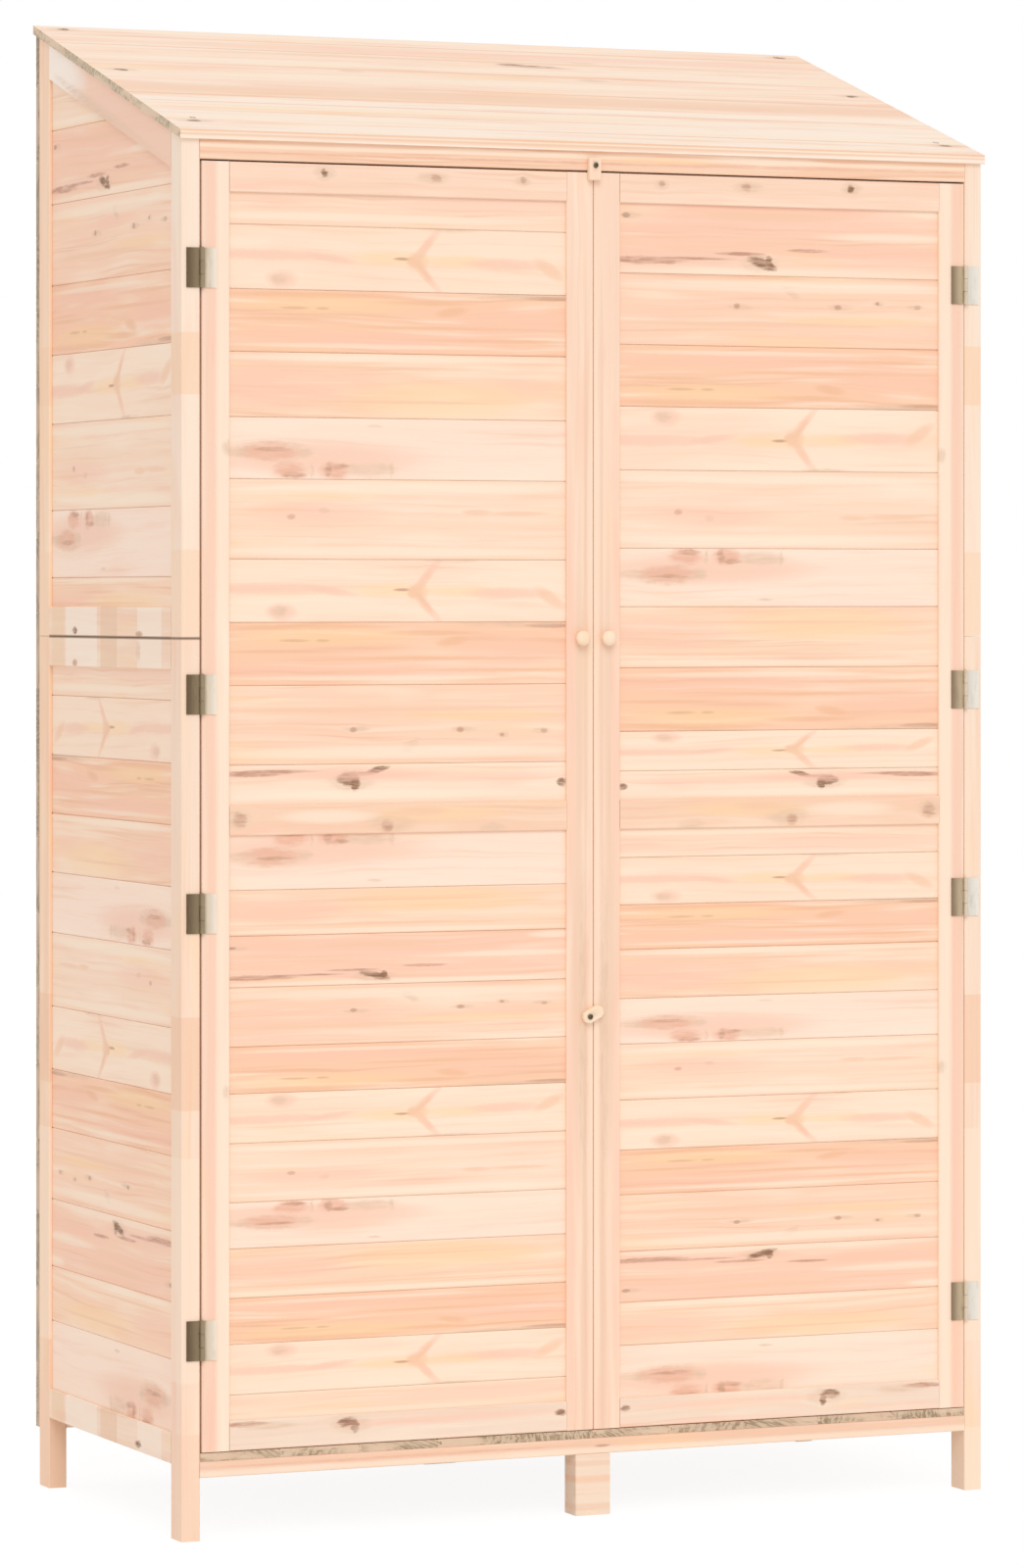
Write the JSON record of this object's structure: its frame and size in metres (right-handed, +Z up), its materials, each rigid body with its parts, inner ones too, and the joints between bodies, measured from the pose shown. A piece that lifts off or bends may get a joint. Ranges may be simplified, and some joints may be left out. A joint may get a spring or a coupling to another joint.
{
  "type": "garden shed",
  "caption": "Narrow wooden garden shed with a forward-sloping board roof, feet, and two tall framed doors on butt hinges, held shut by wooden turn buttons.",
  "frame": {"origin": "on the ground under the middle of the roof", "axes": "+X to the right seen from the front, +Y to the back, +Z up"},
  "size_m": [1.02, 0.5203, 1.75],
  "materials": {
    "frame_wood": "planed fir, unfinished",
    "board_wood": "planed fir boards with knots, unfinished",
    "turned_wood": "pale turned and sawn wood, unfinished",
    "hinge_metal": "yellow passivated steel, dull",
    "screw_steel": "dark passivated"
  },
  "bodies": {
    "shed": {"left_front_leg": "frame_wood", "left_front_post": "frame_wood", "left_rear_leg": "frame_wood", "left_rear_post": "frame_wood", "right_front_leg": "frame_wood", "right_front_post": "frame_wood", "right_rear_leg": "frame_wood", "right_rear_post": "frame_wood", "left_bottom_rail": "frame_wood", "left_lower_rail": "frame_wood", "left_upper_rail": "frame_wood", "left_slope_rail": "frame_wood", "right_bottom_rail": "frame_wood", "right_lower_rail": "frame_wood", "right_upper_rail": "frame_wood", "right_slope_rail": "frame_wood", "left_lower_boards": "board_wood", "left_upper_boards": "board_wood", "right_lower_boards": "board_wood", "right_upper_boards": "board_wood", "header": "frame_wood", "door_stop": "frame_wood", "front_floor_rail": "frame_wood", "rear_floor_rail": "frame_wood", "rear_top_rail": "frame_wood", "front_centre_foot": "frame_wood", "rear_centre_foot": "frame_wood", "floor_boards": "board_wood", "back_boards": "board_wood", "back_batten": "frame_wood", "roof_boards": "board_wood", "roof_battens": "frame_wood", "roof_screws": "screw_steel", "left_post_leaves": "hinge_metal", "right_post_leaves": "hinge_metal", "left_hinge_pins": "hinge_metal", "right_hinge_pins": "hinge_metal", "top_button_screw": "screw_steel"},
    "left_door": {"left_door_hinge_stile": "frame_wood", "left_door_meeting_stile": "frame_wood", "left_door_top_rail": "frame_wood", "left_door_mid_rail": "frame_wood", "left_door_bottom_rail": "frame_wood", "left_door_upper_boards": "board_wood", "left_door_lower_boards": "board_wood", "left_door_knob": "turned_wood", "left_door_leaves": "hinge_metal", "low_button_screw": "screw_steel"},
    "right_door": {"right_door_hinge_stile": "frame_wood", "right_door_meeting_stile": "frame_wood", "right_door_top_rail": "frame_wood", "right_door_mid_rail": "frame_wood", "right_door_bottom_rail": "frame_wood", "right_door_upper_boards": "board_wood", "right_door_lower_boards": "board_wood", "right_door_knob": "turned_wood", "right_door_leaves": "hinge_metal"},
    "top_button": {"top_turn_button": "turned_wood"},
    "low_button": {"low_turn_button": "turned_wood"}
  },
  "joints": [
    {"name": "left_door_swing", "type": "hinge", "parent": "shed", "child": "left_door", "pos_m": [-0.48335, -0.25355, 0.83], "axis": [0, 0, -1], "range_deg": [0, 180]},
    {"name": "right_door_swing", "type": "hinge", "parent": "shed", "child": "right_door", "pos_m": [0.48515, -0.25355, 0.83], "axis": [0, 0, 1], "range_deg": [0, 180]},
    {"name": "top_button_turn", "type": "hinge", "parent": "shed", "child": "top_button", "pos_m": [0, -0.2551, 1.56344], "axis": [0, 1, 0], "range_deg": [-125, 125]},
    {"name": "low_button_turn", "type": "hinge", "parent": "left_door", "child": "low_button", "pos_m": [-0.00688, -0.2551, 0.578], "axis": [0, -1, 0], "continuous": true}
  ]
}
